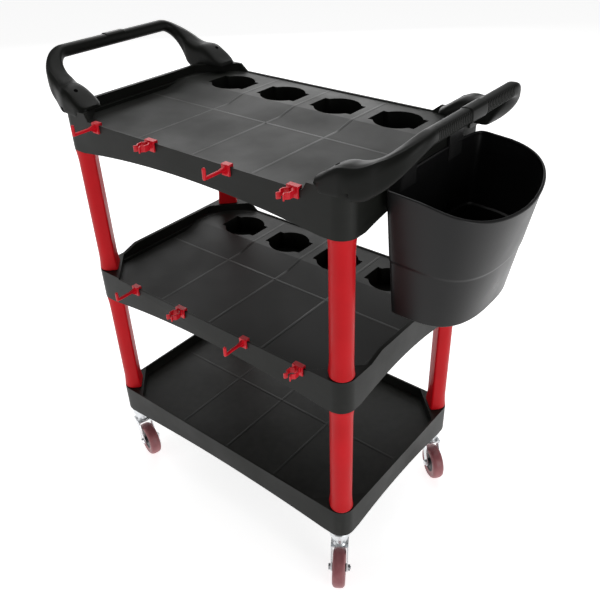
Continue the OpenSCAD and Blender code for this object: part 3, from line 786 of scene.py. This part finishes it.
@dataclass
class Posts:
    """The eight red posts, with a round outer face and a flat inner side."""

    layout: Layout
    width: float = 0.041
    end_width: float = 0.046
    flare: float = 0.034
    axis_in: float = 0.025
    edge: float = 0.005
    foot_edge: float = 0.0025
    face_steps: int = 28
    edge_steps: int = 6

    def build(self) -> None:
        """Makes each post between its foot and its shoulder."""
        for level, below in ((Level.TOP, Level.MIDDLE), (Level.MIDDLE, Level.BOTTOM)):
            name = "upper" if level is Level.TOP else "lower"
            for corner, (sx, sy) in CORNERS.items():
                rise = 0.0
                if below is Level.MIDDLE:
                    rise = self.layout.front_rise if sy < 0 else self.layout.end_rise
                foot = self.layout.rim_z(below) + rise
                shoulder = self.layout.rim_z(level) - self.layout.skirt_depth
                points = self.rings(foot, shoulder) * np.array([sx, sy, 1.0])
                points += np.array([sx * (self.layout.half_length - self.axis_in),
                                    sy * (self.layout.half_width - self.axis_in), 0.0])
                node = f"{name}_post_{corner}"
                piece = grid_object(f"{node}_shell", self.layout.shifted(points), crease=50.0)
                place(piece, "root", POST_PLASTIC, node)

    def rings(self, foot: float, shoulder: float) -> np.ndarray:
        """Rings of the post from its foot to just inside the tray above.

        The width is the middle width plus a flare that falls off with the square of the distance
        from either end. The lowest and highest rings are drawn in as a quarter round.

        Args:
            foot: height of the foot.
            shoulder: height at which the post meets the skirt above.

        Returns:
            Array of rings by points by 3, round the post's axis.
        """
        turn = np.linspace(0.0, np.pi / 2, 5)
        z = np.concatenate([
            foot + self.foot_edge * (1 - np.cos(turn)),
            np.linspace(foot + self.foot_edge * 1.5, shoulder - 0.001, 40),
            [shoulder + 0.02]])
        inset = np.concatenate([self.foot_edge * (1 - np.sin(turn)), np.zeros(41)])
        near_foot = np.clip(1 - (z - foot) / self.flare, 0, 1) ** 2
        near_shoulder = np.clip(1 - (shoulder - z) / self.flare, 0, 1) ** 2
        flare = (self.end_width - self.width) * np.maximum(near_foot, np.minimum(near_shoulder, 1.0))
        width = self.width + flare - 2 * inset
        width[-1] = self.width - 0.004
        outline = self.outline(width)
        x = (outline[..., 0] - outline[..., 1]) / math.sqrt(2)
        y = (outline[..., 0] + outline[..., 1]) / math.sqrt(2)
        return np.stack([x, y, np.broadcast_to(z[:, None], x.shape)], axis=-1)

    def outline(self, width: np.ndarray) -> np.ndarray:
        """Outlines with a half circle outside and a flat side with two rounded corners inside.

        Args:
            width: the width of each ring.

        Returns:
            Array of rings by points by 2, with the round face towards +X.
        """
        half = width[:, None] / 2
        back = half - (width[:, None] - 0.006)
        a = np.linspace(-np.pi / 2, np.pi / 2, self.face_steps)
        b = np.linspace(np.pi / 2, np.pi, self.edge_steps + 2)[1:]
        c = np.linspace(np.pi, 3 * np.pi / 2, self.edge_steps + 2)[:-1]
        x = np.concatenate([
            half * np.cos(a), back + self.edge * (1 + np.cos(b)),
            back + self.edge * (1 + np.cos(c))], axis=1)
        y = np.concatenate([
            half * np.sin(a), half - self.edge * (1 - np.sin(b)),
            -half + self.edge * (1 + np.sin(c))], axis=1)
        return np.stack([x, y], axis=-1)


@dataclass
class Handles:
    """The two moulded handles, each swept from one pad round the grip to the other pad."""

    layout: Layout
    grip_x: float = 0.407
    grip_z: float = 0.952
    bar_end: float = 0.125
    bend_r: float = 0.045
    grip_half: float = 0.0125
    pad_y: float = 0.180
    pad_half: float = 0.027
    pad_low: float = 0.862
    pad_high: float = 0.915
    pad_drop: float = 0.032
    pad_inner_x: float = 0.264
    power: float = 2.8
    low_power: float = 6.0
    groove_pitch: float = 0.0052
    groove_depth: float = 0.0024
    block_half: float = 0.023
    block_rise: float = 0.0016
    bin_top: float = 0.8776
    screw: tuple = (0.299, 0.1835)
    stations: int = 1000
    sides: int = 72

    def build(self) -> None:
        """Makes the handle at each end."""
        for name, side in (("left", -1), ("right", 1)):
            points = self.surface()
            if side > 0:
                points = self.clear_of_bin(points)
            points = points * np.array([side, 1.0, 1.0])
            piece = grid_object(f"{name}_handle_shell", self.layout.shifted(points), crease=35.0)
            place(piece, "root", HANDLE_PLASTIC, f"{name}_handle")
            # Dark discs of painted shade over the front and back screw holes of each pad.
            painted_discs = [self.well_shade_disc(points, side, end) for end in (-1, 1)]
            shade_piece = joined(f"{name}_handle_screw_shade_discs", painted_discs)
            place(shade_piece, "root", SCREW_SHADE_PAINT)

    def surface(self) -> np.ndarray:
        """Rings of the handle along its centre line, which is straight, bent and straight again.

        Each ring is a superellipse. Its width grows from the grip to the pad, and its low and high
        edges fall from the grip's height to the pad's. Grooves follow a cosine along the bar.

        Returns:
            Array of rings by points by 3.
        """
        bend_end = self.bar_end + self.bend_r * math.pi / 2
        length = bend_end + self.grip_x - self.bend_r - self.pad_inner_x
        ends = np.linspace(-1, 1, self.stations)
        s = length * np.sign(ends) * (1 - (1 - np.abs(ends)) ** 1.06)
        d = np.abs(s)
        turn = np.clip((d - self.bar_end) / self.bend_r, 0, math.pi / 2)
        beyond = np.clip(d - bend_end, 0, None)
        x = self.grip_x - self.bend_r * (1 - np.cos(turn)) - beyond
        arm_y = self.bar_end + self.bend_r
        y = np.minimum(d, self.bar_end) + self.bend_r * np.sin(turn)
        y += (self.pad_y - arm_y) * smooth(bend_end, bend_end + 0.05, d)
        to_end = np.clip((length - d) / 0.022, 0, 1)
        round_end = np.sqrt(np.maximum(0.0004, 1 - (1 - to_end) ** 2))
        slim = self.grip_half - self.block_rise
        half = mix(slim, self.pad_half, smooth(self.bar_end - 0.01, bend_end + 0.05, d))
        low = mix(self.grip_z - self.grip_half, self.pad_low, smooth(self.bar_end, bend_end + 0.024, d))
        high = mix(self.grip_z + slim, self.pad_high, smooth(self.bar_end, bend_end + 0.035, d))
        high = high - self.pad_drop * smooth(bend_end + 0.035, length + 0.01, d) ** 1.3
        half = half * mix(0.5, 1.0, round_end)
        rise = (high - low) / 2 * mix(0.9, 1.0, round_end)
        middle = (low + high) / 2
        a = np.linspace(0, 2 * np.pi, self.sides, endpoint=False)
        box_share = np.where(np.sin(a) < 0, 1.0, 0.0)[None, :] * smooth(self.bar_end, bend_end,
            d)[:, None]
        power = mix(self.power, self.low_power, box_share)
        across = signed_power(np.cos(a)[None, :], 2 / power)
        up = signed_power(np.sin(a)[None, :], 2 / power)
        outer_face = smooth(0.1, 0.4, np.cos(a)) * (1 - smooth(0.55, 0.75, np.sin(a)))
        depth = self.groove_depth * self.grooves(d)[:, None] * outer_face[None, :]
        edge = 0.0012
        block = self.block_rise * (1 - smooth(self.block_half - edge, self.block_half + edge, d))[:, None]
        out = half[:, None] * across - depth + block * smooth(-0.1, 0.5, np.cos(a))[None, :]
        z = middle[:, None] + rise[:, None] * up + block * smooth(0.2, 0.6, np.sin(a))[None, :]
        crest = self.crest(d)[:, None] * np.exp(-((a[None, :] - math.radians(52)) / 0.09) ** 2)
        out = out + crest * 0.5
        z = z + crest
        normal_x, normal_y = np.cos(turn), np.sin(turn)
        px = x[:, None] + normal_x[:, None] * out
        py = np.sign(s)[:, None] * (y[:, None] + normal_y[:, None] * out)
        return self.seated(np.stack([px, py, z], axis=-1))

    def well_shade_disc(self, points: np.ndarray, side: int, end: int) -> tuple:
        """Small dark round disc of painted shade over a screw's hole, laid on the pad's sloping top.

        Args:
            points: the handle's rings.
            side: -1 for the left handle, 1 for the right one.
            end: -1 for the front pad, 1 for the back one.

        Returns:
            Its vertices and faces.
        """
        away = np.hypot(points[..., 0] - side * self.screw[0], points[..., 1] - end * self.screw[1])
        ring, column = np.unravel_index(np.argmin(away + (points[..., 2] < 0.88)), away.shape)
        centre = points[ring, column]
        along = points[ring + 3, column] - points[ring - 3, column]
        across = points[ring, column + 1] - points[ring, column - 1]
        along, across = along / np.linalg.norm(along), across / np.linalg.norm(across)
        normal = np.cross(along, across)
        normal *= np.sign(normal[2])
        radius = np.array([0.0001, 0.0036, 0.0042])[:, None]
        height = np.array([0.0005, 0.0005, -0.0010])[:, None]
        a = np.linspace(0, 2 * np.pi, 28, endpoint=False)[None, :]
        spread = radius[..., None] * (np.cos(a)[..., None] * along + np.sin(a)[..., None] * across)
        rings = centre + spread + height[..., None] * normal
        return self.layout.shifted(rings.reshape(-1, 3)), grid_faces(3, 28, False, True).tolist()

    def crest(self, d: np.ndarray) -> np.ndarray:
        """Height of the fine ridge along the arm's outer edge, which swells and fades over the arm.

        Args:
            d: distance along the handle from its middle.

        Returns:
            The ridge's height for each distance.
        """
        return 0.0009 * smooth(self.bar_end + 0.01, self.bar_end + 0.05, d) * (1 - smooth(0.24, 0.27, d))

    def grooves(self, d: np.ndarray) -> np.ndarray:
        """Share of the groove's depth: a squared raised cosine between the block and the bend.

        Args:
            d: distance along the handle from its middle.

        Returns:
            The share for each distance, between 0 and 1.
        """
        wave = 0.5 - 0.5 * np.cos(2 * np.pi * d / self.groove_pitch)
        inside = smooth(self.block_half, self.block_half + 0.002, d) * (1 - smooth(0.112, 0.12, d))
        return wave ** 2 * inside

    def clear_of_bin(self, points: np.ndarray) -> np.ndarray:
        """Lifts the underside of the back arm over the bin, which rises on its tabs to come off.

        Args:
            points: the handle's rings.

        Returns:
            The rings, clear of the bin.
        """
        share = smooth(0.0, 0.006, points[..., 0] - self.layout.half_length) * (points[..., 1] > 0)
        points[..., 2] = np.maximum(points[..., 2], mix(self.pad_low, self.bin_top, share))
        return points

    def seated(self, points: np.ndarray) -> np.ndarray:
        """Lifts the underside to the tray's platform wherever it lies over the tray.

        Args:
            points: the handle's rings.

        Returns:
            The rings, resting on the platform.
        """
        seat = self.layout.rim_z(Level.TOP) + self.layout.end_rise + 0.0002
        inside_x = np.abs(points[..., 0]) < self.layout.half_length
        inside_y = np.abs(points[..., 1]) < self.layout.half_width
        lifted = np.maximum(points[..., 2], seat)
        points[..., 2] = np.where(inside_x & inside_y, lifted, points[..., 2])
        return points


@dataclass
class Bin:
    """The bucket that hangs on the right end, with a rolled lip and a step round its wall."""

    layout: Layout
    gap: float = 0.002
    middle_y: float = 0.026
    reach: float = 0.1712
    width: float = 0.304
    foot_reach: float = 0.133
    foot_width: float = 0.244
    back_z: float = 0.857
    front_z: float = 0.817
    bottom_z: float = 0.622
    wall: float = 0.003
    back_round: float = 0.024
    foot_edge: float = 0.004
    seam: float = 0.455
    step: float = 0.0012
    ledge: float = 0.003
    steps: int = 220

    def build(self) -> None:
        """Makes the bucket and its two hanging tabs."""
        points = self.surface()
        shell = (self.layout.shifted(points).reshape(-1, 3), self.shell_faces(*points.shape[:2]))
        parts = [shell] + [self.tab(side) for side in (-1, 1)]
        place(joined("utility_bin_shell", parts, crease=38.0), "bin", BIN_PLASTIC, "utility_bin")

    @staticmethod
    def shell_faces(rows: int, columns: int) -> list:
        """Quads of the wall, with a flat face under the foot and another on the inner floor.

        Args:
            rows: number of rings.
            columns: points in each ring.

        Returns:
            The faces, as lists of vertex numbers.
        """
        faces = grid_faces(rows, columns, False, True).tolist()
        faces.append(list(range(columns)))
        faces.append([(rows - 1) * columns + i for i in range(columns)])
        return faces

    def surface(self) -> np.ndarray:
        """Rings from the foot up the outside, over the rolled lip and down the inside.

        Round the bucket the front is a superellipse that ends on a flat back. The rim falls towards
        the front as a power of the distance from the tray.

        Returns:
            Array of rings by points by 3.
        """
        a = np.linspace(-np.pi, np.pi, self.steps, endpoint=False)
        a = a - 0.35 * np.sin(2 * a)
        roll = np.linspace(0, np.pi, 9)
        lip = self.wall * 0.75
        up = np.linspace(0, 1, 80)
        down = up[::-1][1:]
        turn = np.linspace(0, np.pi / 2, 6)
        level = np.concatenate([np.zeros(6), up[1:], np.full(9, 1.0), down])
        inset = np.concatenate([
            self.foot_edge * (1 - np.sin(turn)), -self.step * smooth(self.seam,
                self.seam + 0.013, up[1:]),
            self.wall / 2 - self.step - lip * np.cos(roll),
            self.wall - self.step + self.ledge * (1 - smooth(self.seam - 0.013, self.seam, down))])
        lift = np.concatenate([
            self.foot_edge * (1 - np.cos(turn)), np.zeros(79), lip * np.sin(roll),
            self.wall * (down < 0.001)])
        level, inset, lift = level[:, None], inset[:, None], lift[:, None]
        reach = mix(self.foot_reach, self.reach, level) - inset - self.back_round - self.step
        half = mix(self.foot_width, self.width, level) / 2 - inset - self.step
        front = np.cos(a)[None, :] >= 0
        cosine, sine = np.abs(np.cos(a))[None, :], np.sin(a)[None, :]
        x = self.back_round + np.where(
            front, reach * cosine ** (2 / mix(4.0, 5.0, level)),
            -(self.back_round - inset) * cosine ** (2 / 4))
        y = half * signed_power(sine, np.where(front, 2 / mix(2.6, 1.8, level), 2 / 4))
        rim = self.back_z - (self.back_z - self.front_z) * (np.clip(x, 0, None) / self.reach) ** 2.6
        z = mix(self.bottom_z, rim - lip, level) + lift
        start = self.layout.half_length + self.gap
        return np.stack([start + x, self.middle_y + y, z], axis=-1)

    def tab(self, side: int) -> tuple:
        """Bent strip from the bucket's back over the tray's end wall and down inside it.

        Args:
            side: -1 for the front tab, 1 for the back one.

        Returns:
            Its vertices and faces.
        """
        over = self.layout.rim_z(Level.TOP) + self.layout.end_rise + 0.0004
        outer_x = self.layout.half_length + self.gap
        inner_x = self.layout.half_length - 0.0084
        thick = 0.003
        corner = 0.0025
        turn = np.linspace(0, np.pi / 2, 5)
        path = np.concatenate([
            [[outer_x, self.back_z - 0.026]],
            np.stack([outer_x - corner + corner * np.cos(turn),
                over - corner + corner * np.sin(turn)], axis=1),
            np.stack([inner_x + corner - corner * np.sin(turn),
                over - corner + corner * np.cos(turn)], axis=1),
            [[inner_x, over - 0.008]]])
        step = np.gradient(path, axis=0)
        step /= np.linalg.norm(step, axis=1, keepdims=True)
        normal = np.stack([step[:, 1], -step[:, 0]], axis=1)
        outer = path + normal * thick
        y0 = self.middle_y + side * 0.075
        rows = []
        for offset, line in ((-0.023, path), (0.023, path), (0.023, outer), (-0.023, outer)):
            rows.append(np.stack([line[:, 0], np.full(len(line), y0 + offset), line[:, 1]], axis=1))
        ring = np.stack(rows, axis=1)
        faces = grid_faces(len(path), 4, False, True).tolist()
        faces += [[0, 1, 2, 3], [(len(path) - 1) * 4 + i for i in range(4)]]
        return self.layout.shifted(ring.reshape(-1, 3)), faces


@dataclass
class HooksAndClips:
    """The red hooks and clips that snap over the front rims."""

    layout: Layout
    edge: float = 0.0006

    def build(self) -> None:
        """Makes each hook and clip with rounded edges."""
        for level in (Level.TOP, Level.MIDDLE):
            for kind in ("hook", "clip"):
                for side in ("left", "right"):
                    node = f"{level.value}_{kind}_{side}"
                    place(softened_copy(f"{node}_moulding", node, self.edge), "root", CLIP_PLASTIC)


@dataclass
class Casters:
    """The four swivel casters."""

    layout: Layout
    edge: float = 0.0005

    def build(self) -> None:
        """Dresses each caster's nodes."""
        finishes = {"ball_race": RACE_STEEL, "tyre": TREAD, "wheel_hub": HUB_PLASTIC,
                    "axle_bolt": ZINC, "axle_nut": ZINC, "caster_stem": ZINC, "caster_fork": ZINC}
        for corner in CORNERS:
            for kind, finish in finishes.items():
                dress(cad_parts[f"{kind}_{corner}"], finish.material())
                LOG.info("dressed %s_%s", kind, corner)


def main() -> None:
    """Builds the cart and its stage, and reports each piece."""
    logging.basicConfig(level=logging.INFO, format="%(message)s")
    layout = Layout()
    Studio(layout).build()
    Trays(layout).build()
    Posts(layout).build()
    Handles(layout).build()
    Bin(layout).build()
    HooksAndClips(layout).build()
    Casters(layout).build()
    dress(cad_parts["handle_screws"], ZINC.material())


if __name__ == "__main__":
    main()
